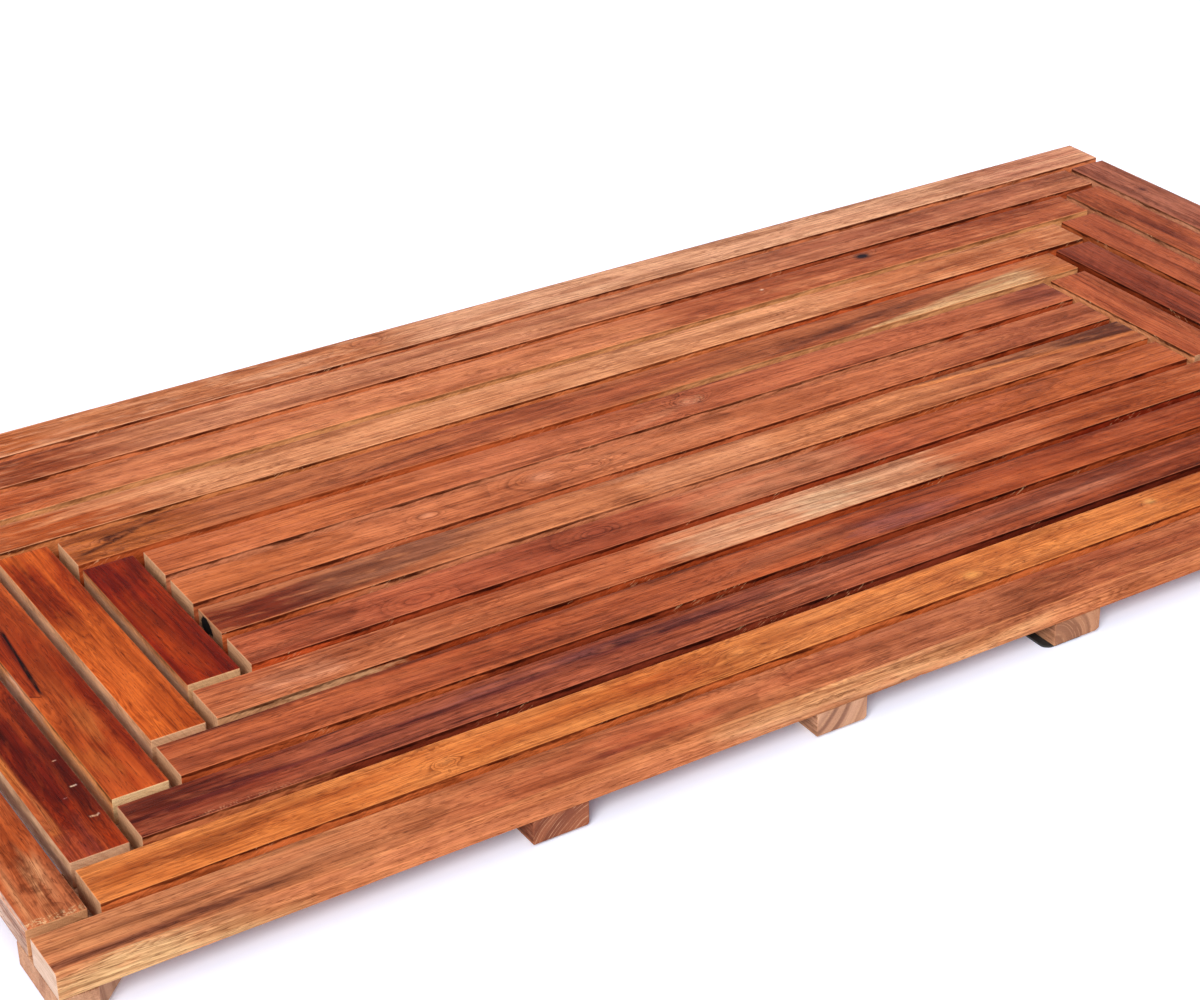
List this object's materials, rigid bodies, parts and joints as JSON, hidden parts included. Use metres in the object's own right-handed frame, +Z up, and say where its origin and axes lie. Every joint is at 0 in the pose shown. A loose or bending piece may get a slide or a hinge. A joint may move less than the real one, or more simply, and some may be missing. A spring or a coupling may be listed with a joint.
{
  "type": "slatted wooden bath mat",
  "caption": "Rectangular slatted wooden bath mat: nested rings of slats on cross and diagonal battens, screwed from below, that drains water and stands on thin rubber pads.",
  "frame": {"origin": "on the floor under the middle of the mat", "axes": "+X along the mat, +Y to its back, +Z up"},
  "size_m": [1.01, 0.498, 0.0302],
  "materials": {
    "teak_honey": "oiled teak, satin, honey brown with a darker streak",
    "teak_orange": "oiled teak, satin, golden orange",
    "teak_red": "oiled teak, satin, red-orange with dark figure",
    "teak_brown": "oiled teak, satin, dark purple-brown heartwood",
    "teak_pale": "oiled teak, satin, pale pinkish tan",
    "batten_teak": "sawn teak, matt, brown end grain",
    "screw_steel": "stainless steel, satin",
    "pad_rubber": "black rubber, matt"
  },
  "bodies": {
    "root": {"corner_batten_back_left": "batten_teak", "corner_batten_back_right": "batten_teak", "corner_batten_front_left": "batten_teak", "corner_batten_front_right": "batten_teak", "corner_batten_screws": "screw_steel", "cross_batten_left_inner": "batten_teak", "cross_batten_left_outer": "batten_teak", "cross_batten_right_inner": "batten_teak", "cross_batten_right_outer": "batten_teak", "cross_batten_screws": "screw_steel", "pad_corner_back_left": "pad_rubber", "pad_corner_back_right": "pad_rubber", "pad_corner_front_left": "pad_rubber", "pad_corner_front_right": "pad_rubber", "pad_left_inner_back": "pad_rubber", "pad_left_inner_front": "pad_rubber", "pad_left_outer_back": "pad_rubber", "pad_left_outer_front": "pad_rubber", "pad_right_inner_back": "pad_rubber", "pad_right_inner_front": "pad_rubber", "pad_right_outer_back": "pad_rubber", "pad_right_outer_front": "pad_rubber", "slat_back_1": "teak_pale", "slat_back_2": "teak_brown", "slat_back_3": "teak_red", "slat_back_4": "teak_pale", "slat_back_5": "teak_orange", "slat_front_1": "teak_honey", "slat_front_2": "teak_orange", "slat_front_3": "teak_brown", "slat_front_4": "teak_red", "slat_front_5": "teak_pale", "slat_left_1": "teak_brown", "slat_left_2": "teak_red", "slat_left_3": "teak_honey", "slat_left_4": "teak_orange", "slat_left_5": "teak_brown", "slat_middle_1": "teak_orange", "slat_middle_2": "teak_honey", "slat_middle_3": "teak_brown", "slat_middle_4": "teak_red", "slat_right_1": "teak_brown", "slat_right_2": "teak_red", "slat_right_3": "teak_honey", "slat_right_4": "teak_brown", "slat_right_5": "teak_red"}
  },
  "joints": []
}
